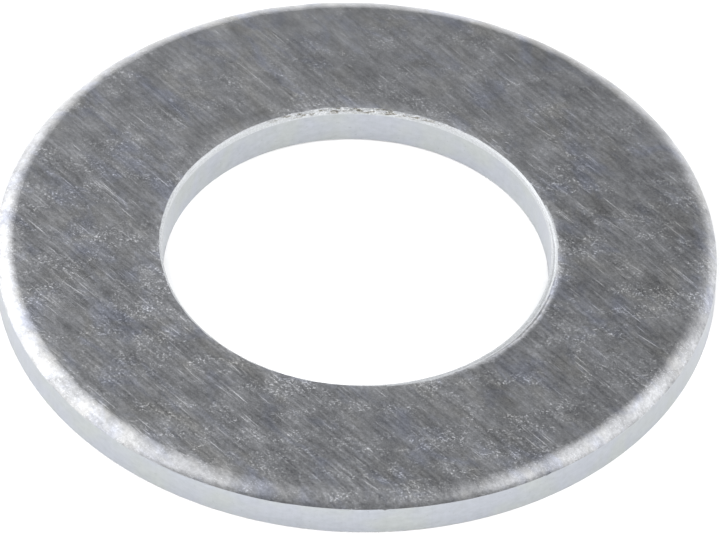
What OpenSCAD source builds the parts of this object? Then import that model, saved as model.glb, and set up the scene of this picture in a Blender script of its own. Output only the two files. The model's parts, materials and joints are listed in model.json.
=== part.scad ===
// Flat washer, light metric series for a 12 mm bolt.
// Stamped from strip steel in one piece, then bright zinc plated.
// The blanking tool leaves a soft rolled edge round the outside of the top face. The piercing
// tool works from the other side, so the hole's rolled edge is underneath and its broken lip is
// on top. The origin is on the hole's axis, at the bottom face, and +Z points along the axis.

/* [Main sizes] */
// Outside diameter of the washer
outer_d = 24; // [16:0.1:60]
// Diameter of the hole, on its smooth wall
bore_d = 13; // [3:0.1:21]
// Thickness of the strip, from flat face to flat face
thickness = 1.4; // [0.6:0.05:6]

/* [Outer edge] */
// How far the rolled edge reaches in from the outside, on the top face
roll_w = 0.62; // [0.34:0.01:1.5]
// How far the rolled edge drops below the top face
roll_h = 0.32; // [0.04:0.01:0.6]
// Width of the small break at the outside bottom edge
rim_break_w = 0.04; // [0.01:0.01:0.2]
// Height of the small break at the outside bottom edge
rim_break_h = 0.06; // [0.01:0.01:0.3]

/* [Hole edge] */
// How far the broken lip reaches out from the hole, on the top face
lip_w = 0.16; // [0.02:0.01:0.5]
// How far the broken lip reaches down the hole's wall
lip_h = 0.1; // [0.02:0.01:0.4]
// How far the hole's rolled edge reaches out, on the bottom face
bore_roll_w = 0.18; // [0.1:0.01:0.5]
// How far the hole's rolled edge reaches up the hole's wall
bore_roll_h = 0.08; // [0.02:0.01:0.16]

/* [Hidden] */
$fn = 256;
outer_r = outer_d / 2;
bore_r = bore_d / 2;
// Extra reach that lets a cutting shape pass clear through a face
cut = 1;
zinc = [0.74, 0.76, 0.78];

// Radius of an arc that leaves a flat face smoothly and drops by "drop" over "reach"
function roll_r(reach, drop) = (reach * reach + drop * drop) / (2 * drop);

// The sliver of strip that the tool pulls off a corner as it rolls the edge over.
// The corner is at the origin, with the metal towards -X and below.
module rolled_corner(reach, drop) {
    r = roll_r(reach, drop);
    difference() {
        translate([-reach, -drop]) square([reach + cut, drop + cut]);
        translate([-reach, -r]) circle(r = r);
    }
}

// The sliver that is missing where a corner is broken at a plain slant
module broken_corner(reach, drop) {
    polygon([[-reach, 0], [-reach, cut], [cut, cut], [cut, -drop], [0, -drop]]);
}

// Half of the washer's cross-section, out from the axis
module section() {
    difference() {
        translate([bore_r, 0]) square([outer_r - bore_r, thickness]);
        translate([outer_r, thickness]) rolled_corner(roll_w, roll_h);
        translate([outer_r, 0]) mirror([0, 1]) broken_corner(rim_break_w, rim_break_h);
        translate([bore_r, thickness]) mirror([1, 0]) broken_corner(lip_w, lip_h);
        translate([bore_r, 0]) rotate(180) rolled_corner(bore_roll_w, bore_roll_h);
    }
}

// The washer itself: one piece of strip, turned about the hole's axis
module washer() {
    color(zinc) rotate_extrude() section();
}

washer();
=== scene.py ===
# %% [markdown]
# # A stamped flat washer, finished in bright zinc
#
# A flat washer looks like the simplest thing in the workshop: a disc with a hole. What makes
# it look real is what the press tool did to it. The blanking die drags the strip down before
# it cuts, so one face has a soft rolled edge that ends in a crisp shear line. The piercing
# punch breaks out of the other side, so the hole has a torn lip on top. This lesson spins that
# section into a ring, roughens it as a press would, and gives each surface its own finish.
#
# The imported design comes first. It is the fixed frame, and every size here is taken from it
# or drawn to fit inside it.

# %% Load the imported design
import json
import math

import bmesh
import bpy
from mathutils import Matrix, Vector, noise


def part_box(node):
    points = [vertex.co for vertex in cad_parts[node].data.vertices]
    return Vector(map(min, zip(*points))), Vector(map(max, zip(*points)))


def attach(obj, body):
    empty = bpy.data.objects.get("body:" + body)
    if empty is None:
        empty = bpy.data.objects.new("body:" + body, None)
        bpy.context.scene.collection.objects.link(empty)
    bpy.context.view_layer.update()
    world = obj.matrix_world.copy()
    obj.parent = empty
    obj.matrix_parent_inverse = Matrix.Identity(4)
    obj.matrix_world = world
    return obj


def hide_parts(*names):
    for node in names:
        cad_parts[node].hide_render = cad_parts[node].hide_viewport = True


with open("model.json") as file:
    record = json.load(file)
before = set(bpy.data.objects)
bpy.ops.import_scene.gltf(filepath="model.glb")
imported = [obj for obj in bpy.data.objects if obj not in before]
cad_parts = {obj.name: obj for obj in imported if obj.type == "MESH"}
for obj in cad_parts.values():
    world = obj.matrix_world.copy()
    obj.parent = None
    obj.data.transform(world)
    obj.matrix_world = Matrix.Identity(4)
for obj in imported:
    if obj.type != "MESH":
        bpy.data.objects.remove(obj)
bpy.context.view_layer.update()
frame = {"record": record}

MM = 0.001
HAIR = 0.001 * MM
low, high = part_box("washer")
mounts = {mount["name"]: mount for mount in frame["record"]["mounts"]}

outer_r = min(high.x - low.x, high.y - low.y) / 2
bore_r = mounts["bore"]["dims"]["r_mm"] * MM
thickness = high.z - low.z
print(f"washer: {outer_r * 2 / MM:.2f} mm outside, {bore_r * 2 / MM:.2f} mm hole")
print(f"strip: {thickness / MM:.2f} mm thick")

# %% [markdown]
# ## The section
#
# The ring is one closed outline turned about the hole's axis, so the outline is where the
# care goes. It could be a rectangle with four bevels, but a press doesn't bevel. Its rolled
# edge leaves the flat face smoothly and meets the wall at a hard corner, so each roll is an
# arc that is tangent to the face alone. A pen that draws straight runs and arcs keeps the
# outline readable, and the arcs come from bmesh's own spin.
#
# Two small things here are guesses and not part of the design. The wall of the hole leans in a
# little towards the bottom, which a worn punch could leave and which makes the outline of the
# hole sit better, and the flat settles very slightly where it meets the hole.

# %% Sizes of the edges
roll_w = 0.62 * MM
roll_h = 0.32 * MM
rim_break_w = 0.04 * MM
rim_break_h = 0.06 * MM
lip_w = 0.16 * MM
lip_h = 0.10 * MM
bore_roll_w = 0.18 * MM
bore_roll_h = 0.08 * MM
punch_taper = 0.08 * MM
settle_w = 0.34 * MM
settle_h = 0.018 * MM


def roll_radius(reach, drop):
    """Radius of an arc that leaves a flat smoothly and drops by drop over reach."""
    return (reach * reach + drop * drop) / (2 * drop)


# %% Draw the section with a pen
def run_to(bm, pen, r, z, steps):
    """Draws a straight run from the pen to (r, z) in even steps."""
    start = pen.co.copy()
    end = Vector((r, 0, z))
    for i in range(1, steps + 1):
        pen = bmesh.ops.extrude_vert_indiv(bm, verts=[pen])["verts"][0]
        pen.co = start.lerp(end, i / steps)
    return pen


def roll_over(bm, pen, reach, drop, side, steps):
    """Rolls the pen off a flat: outwards and down for side 1, inwards and up for side -1."""
    radius = roll_radius(reach, drop)
    centre = pen.co - Vector((0, 0, side * radius))
    turned = bmesh.ops.spin(
        bm, geom=[pen], cent=centre, axis=(0, 1, 0), dvec=(0, 0, 0),
        angle=math.asin(reach / radius), steps=steps, use_duplicate=False,
    )
    return next(part for part in turned["geom_last"] if isinstance(part, bmesh.types.BMVert))


def draw_section(bm):
    """Draws the washer's closed outline in the XZ plane, once round."""
    pen = bm.verts.new((bore_r + lip_w, 0, thickness))
    pen = run_to(bm, pen, bore_r + lip_w + settle_w, thickness, 6)
    pen = run_to(bm, pen, outer_r - roll_w, thickness, 9)
    pen = roll_over(bm, pen, roll_w, roll_h, 1, 16)
    pen = run_to(bm, pen, outer_r, rim_break_h, 8)
    pen = run_to(bm, pen, outer_r - rim_break_w, 0, 2)
    pen = run_to(bm, pen, bore_r - punch_taper + bore_roll_w, 0, 10)
    pen = roll_over(bm, pen, bore_roll_w, bore_roll_h, -1, 6)
    pen = run_to(bm, pen, bore_r, thickness - lip_h, 9)
    run_to(bm, pen, bore_r + lip_w, thickness, 10)
    bmesh.ops.remove_doubles(bm, verts=bm.verts[:], dist=HAIR)


# %% Turn the section into a ring
SPOKES = 960

bm = bmesh.new()
draw_section(bm)
outline_points = len(bm.verts)
bmesh.ops.spin(
    bm, geom=bm.verts[:] + bm.edges[:], cent=(0, 0, 0), axis=(0, 0, 1), dvec=(0, 0, 0),
    angle=math.tau, steps=SPOKES, use_merge=True, use_duplicate=False,
)
bmesh.ops.remove_doubles(bm, verts=bm.verts[:], dist=HAIR / 2)
bmesh.ops.recalc_face_normals(bm, faces=bm.faces[:])
print(f"ring: {outline_points} points round the section, {len(bm.faces)} faces")

# %% [markdown]
# ## What the press left behind
#
# A perfectly even ring looks turned on a lathe. On a stamped one the rolled edge wanders in
# width as the strip shifts in the tool, the shear line carries tiny nicks, and the torn lip of
# the hole is ragged: the break starts higher or lower from one grain to the next. All of that
# is a few hundredths of a millimetre, so it could be left to a bump map, but the edges are
# what catch the light, and a bump map leaves their outlines straight. So the vertices move.
# No move goes out past the wall, over the top face or under the bottom one, which keeps the
# ring inside the design's box.


# %% Noise that closes on itself round the ring
def around(phi, lumps, seed):
    """Smooth noise from about -1 to 1 round the ring, with some lumps to the turn."""
    reach = lumps / math.tau
    return noise.noise(Vector((math.cos(phi) * reach, math.sin(phi) * reach, seed)))


def grit(point, size, seed):
    """Noise from about -1 to 1 in space, with grains of the given size."""
    return noise.noise(point / size + Vector((seed, seed * 2.7, -seed)))


# %% Let the rolled edge wander and nick the shear line
NICKS = {-128: 0.04, -84: 0.05, -57: 0.03, -20: 0.03, 64: 0.05, 163: 0.04}
NICK_HALF = 0.09 * MM / outer_r
NICK_SHARPNESS = 8
FLATTER = 0.25


def nick_depth(phi):
    """How deep the nicks cut into the shear line here. NICKS holds degrees and millimetres."""
    depth = 0
    for degrees, deepest in NICKS.items():
        off = (phi - math.radians(degrees) + math.pi) % math.tau - math.pi
        depth += deepest * MM * max(0, 1 - abs(off) / NICK_HALF)
    return depth


def wander_rolled_edge(vert, r, phi):
    """Widens, narrows and deepens the rolled edge, and carries the wall's top with it."""
    broad = 1 + 0.10 * around(phi, 5, 1.3) + 0.05 * around(phi, 40, 2.1)
    deep = 1 + 0.08 * around(phi, 7, 4.2) + 0.05 * around(phi, 90, 5.5)
    shoulder = thickness - roll_h
    new_shoulder = thickness - roll_h * deep - nick_depth(phi)
    if vert.co.z >= shoulder - HAIR:
        new_r = outer_r - (outer_r - r) * broad
        even_slope = 1 - (outer_r - r) / roll_w
        share = (1 - FLATTER) * (thickness - vert.co.z) / roll_h + FLATTER * even_slope
        new_z = thickness - roll_h * deep * share - nick_depth(phi) * share ** NICK_SHARPNESS
    else:
        new_r = r
        new_z = vert.co.z * new_shoulder / shoulder
    vert.co = (new_r * math.cos(phi), new_r * math.sin(phi), new_z)


# %% Tear the lip of the hole
TORN_MIDDLE = math.radians(92)
TORN_HALF = math.radians(38)
PULLED_MIDDLE = math.radians(-30)
PULLED_HALF = math.radians(62)
GROOVE = 0.022 * MM
CRUMB_DEPTH = 0.018 * MM
CRUMB_SIZE = 0.10 * MM
NARROWEST = 0.2


def near(phi, middle, half):
    """1 at the middle angle, fading smoothly to 0 at half a span and beyond."""
    off = abs((phi - middle + math.pi) % math.tau - math.pi)
    share = max(0, 1 - off / half)
    return share * share * (3 - 2 * share)


def lip_width(phi):
    """Width of the lip here: uneven where the metal tore, widest where the punch pulled it."""
    torn = near(phi, TORN_MIDDLE, TORN_HALF)
    pulled = near(phi, PULLED_MIDDLE, PULLED_HALF)
    uneven = 0.16 * around(phi, 70, 6.1) + 0.50 * torn * around(phi, 90, 7.7)
    width = lip_w * (0.46 + 0.22 * torn + 1.40 * pulled + uneven)
    return max(width, NARROWEST * lip_w)


def settle_depth(phi):
    """How far the flat sinks at the edge of the hole: most where the punch pulled it."""
    return settle_h * (1 + 1.8 * near(phi, PULLED_MIDDLE, PULLED_HALF))


def tear_lip(vert, r, phi):
    """Makes the lip ragged: its width and depth wander and its surface is gritty."""
    torn = near(phi, TORN_MIDDLE, TORN_HALF)
    pulled = near(phi, PULLED_MIDDLE, PULLED_HALF)
    deep = 0.50 + 0.32 * torn + 0.36 * pulled + (0.10 + 0.50 * torn) * around(phi, 120, 9.4)
    across = (r - bore_r) / lip_w
    new_r = bore_r + lip_width(phi) * across
    new_z = thickness - settle_depth(phi) - (thickness - vert.co.z) * max(deep, 0.3)
    rough = 4 * across * (1 - across) * torn
    groove = GROOVE * pulled * max(0, 1 - abs(across - 0.5) * 5)
    crumbs = CRUMB_DEPTH * rough * (0.3 + 1.8 * grit(vert.co, CRUMB_SIZE, 3.0))
    sunk = groove + max(crumbs, 0)
    vert.co = ((new_r + sunk) * math.cos(phi), (new_r + sunk) * math.sin(phi), new_z - sunk)


def settle_rim(vert, r, phi):
    """Lets the flat sink very slightly towards the hole."""
    share = max(0, 1 - (r - bore_r - lip_w) / settle_w)
    new_r = r - (lip_w - lip_width(phi)) * share
    new_z = vert.co.z - settle_depth(phi) * share * share
    vert.co = (new_r * math.cos(phi), new_r * math.sin(phi), new_z)


# %% Work round the ring
torn_share = bm.verts.layers.float.new("torn")
worn_share = bm.verts.layers.float.new("worn")

for vert in bm.verts:
    r = math.hypot(vert.co.x, vert.co.y)
    phi = math.atan2(vert.co.y, vert.co.x)
    if r > outer_r - roll_w - HAIR and vert.co.z > rim_break_h:
        wander_rolled_edge(vert, r, phi)
    elif r < bore_r + lip_w - HAIR and vert.co.z > thickness - lip_h - HAIR:
        tear_lip(vert, r, phi)
        vert[torn_share] = near(phi, TORN_MIDDLE, TORN_HALF)
    elif r < bore_r + lip_w + settle_w and vert.co.z > thickness - HAIR:
        settle_rim(vert, r, phi)
        vert[worn_share] = 1 - (r - bore_r - lip_w) / settle_w
tallest = max(vert.co.z for vert in bm.verts)
print(f"edges worked over; tallest point now {tallest / MM:.4f} mm")

# %% [markdown]
# ## Which surface is which
#
# Three finishes meet on the ring. The flats and the rolled edge keep the mill's grain, the
# two walls are burnished by the tool, and the lip and the bottom break are torn metal. They
# could be three objects, but the real thing is one piece of steel, so it is one mesh with
# three material slots, and hard corners between them are marked sharp.

# %% Sort the faces by finish
MILL, SHEARED, TORN = range(3)
FLAT_ENOUGH = 0.30
UPRIGHT = 0.02
CORNER = math.radians(24)
lip_end = bore_r + lip_w * 1.3
lip_floor = thickness - lip_h * 1.9
rim_start = outer_r - roll_w * 1.3

for face in bm.faces:
    centre = face.calc_center_median()
    r = math.hypot(centre.x, centre.y)
    flat_ish = abs(face.normal.z) > FLAT_ENOUGH
    on_lip = r < lip_end and lip_floor < centre.z < thickness - settle_h
    if on_lip and abs(face.normal.z) > UPRIGHT:
        face.material_index = TORN
    elif r > rim_start and centre.z < rim_break_h and not flat_ish:
        face.material_index = TORN
    elif flat_ish:
        face.material_index = MILL
    else:
        face.material_index = SHEARED
    face.smooth = True

for edge in bm.edges:
    edge.smooth = edge.calc_face_angle(0) < CORNER
counts = [sum(face.material_index == i for face in bm.faces) for i in range(3)]
print("faces by finish: mill", counts[MILL], "sheared", counts[SHEARED], "torn", counts[TORN])

# %% Put the ring into the scene
mesh = bpy.data.meshes.new("zinc_washer")
bm.to_mesh(mesh)
bm.free()
washer = bpy.data.objects.new("zinc_washer", mesh)
bpy.context.scene.collection.objects.link(washer)
print("mesh:", len(mesh.vertices), "points,", len(mesh.polygons), "faces")

# %% [markdown]
# ## A small kit for materials
#
# Every finish below is built from the same few moves: read the object's own coordinates,
# stretch them, look up a noise, and stretch its range. Writing each as one short call keeps
# the recipes readable, in the way that a cook writes "fold in" and not a page on spoons.


# %% Node helpers
class Recipe:
    """A material's node tree, with one short call for each move that the finishes use."""

    def __init__(self, name):
        self.material = bpy.data.materials.new(name)
        self.material.use_nodes = True
        self.tree = self.material.node_tree
        self.shader = self.tree.nodes["Principled BSDF"]
        self.place = self.tree.nodes.new("ShaderNodeTexCoord").outputs["Object"]

    def put(self, socket, value):
        """Links a node's output to a socket, or sets the socket to a constant."""
        if isinstance(value, bpy.types.NodeSocket):
            self.tree.links.new(value, socket)
        else:
            socket.default_value = value

    def laid(self, size, turn=0.0):
        """The object's coordinates in units of size = (x, y, z) metres, turned about Z."""
        mapping = self.tree.nodes.new("ShaderNodeMapping")
        mapping.vector_type = "TEXTURE"
        mapping.inputs["Rotation"].default_value = (0, 0, turn)
        mapping.inputs["Scale"].default_value = size
        self.put(mapping.inputs["Vector"], self.place)
        return mapping.outputs["Vector"]

    def noise(self, size, turn=0.0, detail=3.0, rough=0.55, twist=0.0):
        """Cloudy noise with grains of the given size."""
        node = self.tree.nodes.new("ShaderNodeTexNoise")
        self.put(node.inputs["Vector"], self.laid(size, turn))
        node.inputs["Scale"].default_value = 1.0
        node.inputs["Detail"].default_value = detail
        node.inputs["Roughness"].default_value = rough
        node.inputs["Distortion"].default_value = twist
        return node.outputs["Fac"]

    def across(self, size, turn):
        """How far along its own X and Y a point is, in units of size."""
        node = self.tree.nodes.new("ShaderNodeSeparateXYZ")
        self.put(node.inputs["Vector"], self.laid((size, size, size), turn))
        return node.outputs["X"], node.outputs["Y"]

    def ranged(self, value, from_low, from_high, to_low=0.0, to_high=1.0):
        """Stretches a value from one range to another, and stops it at the ends."""
        node = self.tree.nodes.new("ShaderNodeMapRange")
        node.clamp = True
        self.put(node.inputs["Value"], value)
        node.inputs["From Min"].default_value = from_low
        node.inputs["From Max"].default_value = from_high
        node.inputs["To Min"].default_value = to_low
        node.inputs["To Max"].default_value = to_high
        return node.outputs["Result"]

    def painted(self, name):
        """A value that was stored on the mesh's vertices."""
        node = self.tree.nodes.new("ShaderNodeAttribute")
        node.attribute_name = name
        return node.outputs["Fac"]

    def sum(self, kind, a, b):
        """One arithmetic step between two values."""
        node = self.tree.nodes.new("ShaderNodeMath")
        node.operation = kind
        self.put(node.inputs[0], a)
        self.put(node.inputs[1], b)
        return node.outputs[0]

    def mix(self, share, a, b, kind="MIX"):
        """Mixes two colours by a share."""
        node = self.tree.nodes.new("ShaderNodeMix")
        node.data_type = "RGBA"
        node.blend_type = kind
        self.put(node.inputs["Factor"], share)
        self.put(node.inputs["A"], a)
        self.put(node.inputs["B"], b)
        return node.outputs["Result"]

    def bump(self, height, depth, under=None):
        """Tilts the surface by a height map of the given depth in metres."""
        node = self.tree.nodes.new("ShaderNodeBump")
        node.inputs["Strength"].default_value = 1.0
        node.inputs["Distance"].default_value = depth
        self.put(node.inputs["Height"], height)
        if under is not None:
            self.put(node.inputs["Normal"], under)
        return node.outputs["Normal"]


# %% [markdown]
# ## The mill finish
#
# Cold-rolled strip comes off the mill with a fine straight grain, and the plating follows it.
# Barrel plating then tumbles the washers together, which peppers the flats with tiny bright
# dings and a few longer scratches, and the thin passivate over the zinc tints it in faint
# clouds of blue, violet and straw. A single noise would give one of those. Layers at their
# own sizes give all of them: grain, specks, scratches and clouds.
#
# The marks are strongest on one half of the ring and fade across the other. Barrel wear is
# uneven, but this pattern of it is a guess. The colour also carries painted shade and light:
# it is about 15% darker towards one side and up to 10% lighter towards the back.

# %% Build the mill finish
GRAIN_TURN = math.radians(-47)
ZINC = (0.495, 0.500, 0.515, 1.0)
BLUE_FILM = (0.448, 0.478, 0.588, 1.0)
STRAW_FILM = (0.500, 0.493, 0.472, 1.0)
# Turn of the frame for the painted shade and light across the face and for the fading marks.
SHADE_AND_WEAR_TURN = math.radians(4)
MARK_LIGHT = 0.64
MARK_MATT = 0.25


def mill_finish():
    """Zinc on rolled strip: grain, hairlines, dings and faint clouds of colour."""
    m = Recipe("zinc_on_rolled_strip")
    fine = m.noise((0.060 * MM,) * 3, 0, 2, 0.6)
    grain = m.noise((0.18 * MM, 0.14 * MM, 0.14 * MM), GRAIN_TURN, 3, 0.6, 0.3)
    streaks = m.noise((1.4 * MM, 0.13 * MM, 0.13 * MM), GRAIN_TURN, 3, 0.6, 0.2)
    haze = m.noise((1.1 * MM, 0.85 * MM, 0.85 * MM), GRAIN_TURN, 4, 0.62)
    over, back = m.across(outer_r, SHADE_AND_WEAR_TURN)
    tumbled = m.ranged(back, 0.0, 0.9, 1.0, 0.50)

    # Hairline scratches run with the grain, in some places only, and a few stray from it.
    hairs = m.noise((1.4 * MM, 0.030 * MM, 0.030 * MM), GRAIN_TURN, 1, 0.5, 0.05)
    hair_zone = m.noise((1.4 * MM, 0.5 * MM, 0.5 * MM), GRAIN_TURN, 2, 0.5)
    hairs = m.sum("MULTIPLY", m.ranged(hairs, 0.655, 0.75), m.ranged(hair_zone, 0.47, 0.62))
    stray = m.noise((2.2 * MM, 0.035 * MM, 0.035 * MM), GRAIN_TURN + 0.12, 1, 0.5, 0.1)
    hairs = m.sum("MAXIMUM", hairs, m.ranged(stray, 0.74, 0.82))

    # Dings are specks, thicker in some zones than in others.
    dings = m.noise((0.075 * MM, 0.055 * MM, 0.055 * MM), GRAIN_TURN + 0.6, 2, 0.6, 0.4)
    ding_zone = m.noise((1.5 * MM, 0.8 * MM, 0.8 * MM), 0, 3, 0.6, 0.8)
    ding_share = m.ranged(ding_zone, 0.46, 0.64, 0.12, 0.90)
    dings = m.sum("MULTIPLY", m.ranged(dings, 0.57, 0.64), ding_share)
    marks = m.sum("MULTIPLY", m.sum("MAXIMUM", hairs, dings), tumbled)

    # The passivate's colour drifts from zinc to straw, and to blue over that.
    blue = m.noise((1.7 * MM, 1.0 * MM, 1.0 * MM), GRAIN_TURN, 3, 0.6, 0.5)
    straw = m.noise((2.6 * MM, 1.8 * MM, 1.8 * MM), GRAIN_TURN, 2, 0.6, 0.7)
    tint = m.mix(m.ranged(straw, 0.52, 0.70, 0.0, 0.65), ZINC, STRAW_FILM)
    tint = m.mix(m.ranged(blue, 0.52, 0.70, 0.0, 0.55), tint, BLUE_FILM)

    # Light and dark: each layer adds its share about 1, then the broad ones scale the sum.
    light = m.sum("MULTIPLY", m.ranged(fine, 0.25, 0.75, -0.11, 0.11), tumbled)
    for layer, start, end, dark, bright in (
        (grain, 0.28, 0.72, -0.15, 0.15),
        (streaks, 0.30, 0.70, -0.14, 0.13),
    ):
        share = m.sum("MULTIPLY", m.ranged(layer, start, end, dark, bright), tumbled)
        light = m.sum("ADD", light, share)
    light = m.sum("MULTIPLY", m.sum("ADD", light, 1.0), m.ranged(haze, 0.32, 0.70, 0.76, 1.23))
    # Painted shade and light: the colour darkens by about 15% from one side to the other and
    # lightens by up to 10% towards the back.
    light = m.sum("MULTIPLY", light, m.ranged(over, -1, 1, 0.992, 0.842))
    light = m.sum("MULTIPLY", light, m.ranged(back, 0.2, 1.0, 1.0, 1.10))
    rubbed = m.sum("MULTIPLY", m.painted("worn"), m.ranged(grain, 0.25, 0.65, 0.10, 0.45))
    light = m.sum("ADD", light, rubbed)
    light = m.sum("ADD", light, m.sum("MULTIPLY", marks, MARK_LIGHT))
    m.put(m.shader.inputs["Base Color"], m.mix(1.0, tint, light, "MULTIPLY"))

    matt = m.sum("MULTIPLY", marks, MARK_MATT)
    rough = m.sum("ADD", m.ranged(streaks, 0.3, 0.7, 0.31, 0.39), matt)
    m.put(m.shader.inputs["Roughness"], rough)
    m.shader.inputs["Metallic"].default_value = 1.0
    normal = m.bump(streaks, 0.0027 * MM)
    normal = m.bump(grain, 0.0014 * MM, normal)
    m.put(m.shader.inputs["Normal"], m.bump(marks, 0.002 * MM, normal))
    print(m.material.name, "has", len(m.tree.nodes), "nodes")
    return m.material


# %% [markdown]
# ## The sheared walls
#
# The clearance between punch and die is so small that the tool irons the cut wall smooth. Its
# marks run straight through the thickness. Object coordinates that are stretched along Z give
# marks that stand upright on both walls, with no seam to hide. Fine pits and a soft mottle
# keep the wall from looking like polished chrome.


# %% Build the sheared walls
WALL_BLUE = (0.438, 0.457, 0.496, 1.0)
WALL_GREEN = (0.446, 0.467, 0.468, 1.0)
PIT_SHADE = 0.16


def sheared_finish():
    """Zinc on the ironed walls: smooth, with faint clouds, small pits and upright tool marks."""
    m = Recipe("zinc_on_sheared_wall")
    marks = m.noise((0.16 * MM, 0.16 * MM, 1.6 * MM), 0, 3, 0.6)
    mottle = m.noise((0.30 * MM, 0.30 * MM, 0.16 * MM), 0, 4, 0.62)
    clouds = m.noise((1.6 * MM,) * 3, 0, 2, 0.5, 0.4)
    pits = m.noise((0.11 * MM, 0.11 * MM, 0.07 * MM), 0, 2, 0.5)
    pits = m.ranged(pits, 0.66, 0.74)
    tint = m.mix(m.ranged(clouds, 0.40, 0.62), WALL_BLUE, WALL_GREEN)
    light = m.ranged(mottle, 0.3, 0.7, 0.92, 1.07)
    light = m.sum("MULTIPLY", m.ranged(marks, 0.3, 0.7, 0.98, 1.02), light)
    light = m.sum("SUBTRACT", light, m.sum("MULTIPLY", pits, PIT_SHADE))
    m.put(m.shader.inputs["Base Color"], m.mix(1.0, tint, light, "MULTIPLY"))
    m.put(m.shader.inputs["Roughness"], m.ranged(mottle, 0.3, 0.7, 0.28, 0.40))
    m.shader.inputs["Metallic"].default_value = 1.0
    normal = m.bump(marks, 0.0006 * MM)
    normal = m.bump(mottle, 0.0020 * MM, normal)
    m.put(m.shader.inputs["Normal"], m.bump(m.sum("SUBTRACT", 1.0, pits), 0.0020 * MM, normal))
    return m.material


# %% [markdown]
# ## The torn lip
#
# Where the metal lets go and tears, it is matt and crystalline. The plating is thin in the
# hollows and a trace of brown shows through, and the high crumbs are rubbed bright. The
# vertices that tore carry a "torn" value, which keeps the brown to that stretch. The finish
# isn't fully metallic, so that the rough edge scatters light as a pale line.


# %% Build the torn lip
TORN_ZINC = (0.570, 0.585, 0.600, 1.0)
TORN_BARE = (0.220, 0.210, 0.180, 1.0)
TORN_FRESH = (0.800, 0.800, 0.790, 1.0)


def torn_finish():
    """Zinc on torn metal: matt and pitted, with a trace of brown where the plating is thin."""
    m = Recipe("zinc_on_torn_edge")
    crumbs = m.noise((0.06 * MM,) * 3, 0, 3, 0.6)
    patches = m.noise((0.36 * MM, 0.14 * MM, 0.09 * MM), 0, 3, 0.6, 0.5)
    torn = m.painted("torn")
    bare = m.sum("MULTIPLY", m.ranged(patches, 0.50, 0.58), m.ranged(torn, 0.1, 0.5))
    colour = m.mix(bare, TORN_ZINC, TORN_BARE)
    fresh = m.sum("MULTIPLY", m.ranged(crumbs, 0.50, 0.64, 0.0, 0.7), torn)
    colour = m.mix(fresh, colour, TORN_FRESH)
    colour = m.mix(1.0, colour, m.ranged(crumbs, 0.3, 0.7, 0.82, 1.18), "MULTIPLY")
    m.put(m.shader.inputs["Base Color"], colour)
    m.put(m.shader.inputs["Roughness"], m.ranged(crumbs, 0.3, 0.7, 0.42, 0.62))
    m.shader.inputs["Metallic"].default_value = 0.7
    m.put(m.shader.inputs["Normal"], m.bump(crumbs, 0.004 * MM))
    return m.material


# %% Give the ring its finishes and its place on the frame
for finish in (mill_finish, sheared_finish, torn_finish):
    washer.data.materials.append(finish())
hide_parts("washer")
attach(washer, "root")
print("finishes:", [material.name for material in washer.data.materials])

# %% [markdown]
# ## The studio
#
# Bare metal shows the room more than it shows itself, so lighting it means placing what it
# reflects. The flat face should mirror a quiet grey, the walls should mirror the white table,
# and the rolled edge, which looks up and outwards, should pick up a soft white box on each
# side. A low white screen behind lifts the far rim. The front fill is kept out of reflections.
# It stands near the camera's side, so that the shadows it casts on the table fall behind the
# ring and out of sight.

# %% Table and backdrop
TABLE_SIZE = 1.2
TABLE_GAP = 0.002 * MM

table_mesh = bpy.data.meshes.new("table")
bm = bmesh.new()
bmesh.ops.create_grid(bm, x_segments=1, y_segments=1, size=TABLE_SIZE / 2)
bm.to_mesh(table_mesh)
bm.free()
table = bpy.data.objects.new("table", table_mesh)
bpy.context.scene.collection.objects.link(table)
table.location.z = low.z - TABLE_GAP

paper = bpy.data.materials.new("white_paper")
paper.use_nodes = True
paper_shader = paper.node_tree.nodes["Principled BSDF"]
paper_shader.inputs["Base Color"].default_value = (0.92, 0.92, 0.92, 1.0)
paper_shader.inputs["Roughness"].default_value = 0.9
paper_shader.inputs["Specular IOR Level"].default_value = 0.1
table_mesh.materials.append(paper)


# %% Soft boxes
def lit_box(name, place, size, brightness, shows=True):
    """A soft box that faces the washer, given by how bright it looks: 1 is a white page.

    A box that doesn't show is left out of reflections.
    """
    data = bpy.data.lights.new(name, "AREA")
    data.shape = "RECTANGLE"
    data.size, data.size_y = size
    data.energy = brightness * size[0] * size[1] * math.pi
    light = bpy.data.objects.new(name, data)
    light.location = place
    light.rotation_euler = (-Vector(place)).to_track_quat("-Z", "Y").to_euler()
    light.visible_glossy = shows
    bpy.context.scene.collection.objects.link(light)
    print(f"{name}: {size[0]:.2f} x {size[1]:.2f} m, brightness {brightness}")


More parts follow.
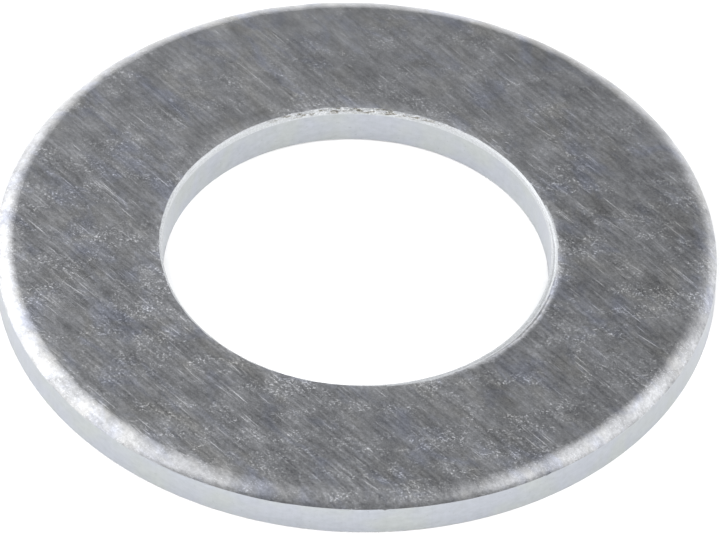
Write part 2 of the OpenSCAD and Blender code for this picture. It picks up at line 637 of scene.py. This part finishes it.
def around_washer(turn_degrees, height_degrees, distance):
    """A place round the washer: turned from the right (0) to the back (90), at a height."""
    turn, height = math.radians(turn_degrees), math.radians(height_degrees)
    level = math.cos(height) * distance
    return (level * math.cos(turn), level * math.sin(turn), math.sin(height) * distance)


lit_box("left_box", around_washer(172, 42, 0.42), (0.55, 0.52), 1.50)
lit_box("left_low_box", around_washer(142, 20, 0.44), (0.40, 0.30), 1.27)
lit_box("right_box", around_washer(4, 47, 0.42), (0.40, 0.38), 1.66)
lit_box("right_low_box", around_washer(25, 12, 0.44), (0.46, 0.16), 1.24)
lit_box("rear_screen", around_washer(90, 10, 0.46), (0.70, 0.15), 0.95)
lit_box("front_fill", around_washer(-84, 46, 0.50), (0.36, 0.36), 6.6, shows=False)

# %% The room
ROOM_GREY = (0.262, 0.267, 0.275, 1.0)

world = bpy.data.worlds.new("grey_room")
bpy.context.scene.world = world
world.use_nodes = True
background = world.node_tree.nodes["Background"]
background.inputs["Color"].default_value = ROOM_GREY
background.inputs["Strength"].default_value = 1.0
bpy.context.scene.view_settings.view_transform = "Standard"

# %% [markdown]
# ## The camera
#
# A long lens from well back keeps the ring's near and far edges almost the same size. It
# looks down at about 45 degrees, and the camera is tipped by two degrees about its own axis.

# %% Place the camera
DISTANCE = 0.480
ELEVATION = math.radians(44.76)
ROLL = math.radians(2.20)
AIM_RIGHT = math.radians(-0.016)
AIM_UP = math.radians(0.032)
SENSOR = 36.0
LENS = 720.1

camera_data = bpy.data.cameras.new("camera")
camera_data.sensor_width = SENSOR
camera_data.lens = LENS
camera_data.clip_start = 0.01
camera_data.clip_end = 10.0
camera = bpy.data.objects.new("camera", camera_data)
bpy.context.scene.collection.objects.link(camera)
back = Vector((0, -math.cos(ELEVATION), math.sin(ELEVATION)))
turn = (-back).to_track_quat("-Z", "Y").to_matrix().to_4x4()
for angle, axis in ((AIM_RIGHT, "Y"), (AIM_UP, "X"), (ROLL, "Z")):
    turn = turn @ Matrix.Rotation(angle, 4, axis)
camera.matrix_world = Matrix.Translation(back * DISTANCE) @ turn
bpy.context.scene.camera = camera
print(f"camera: {DISTANCE} m away, {LENS} mm lens")
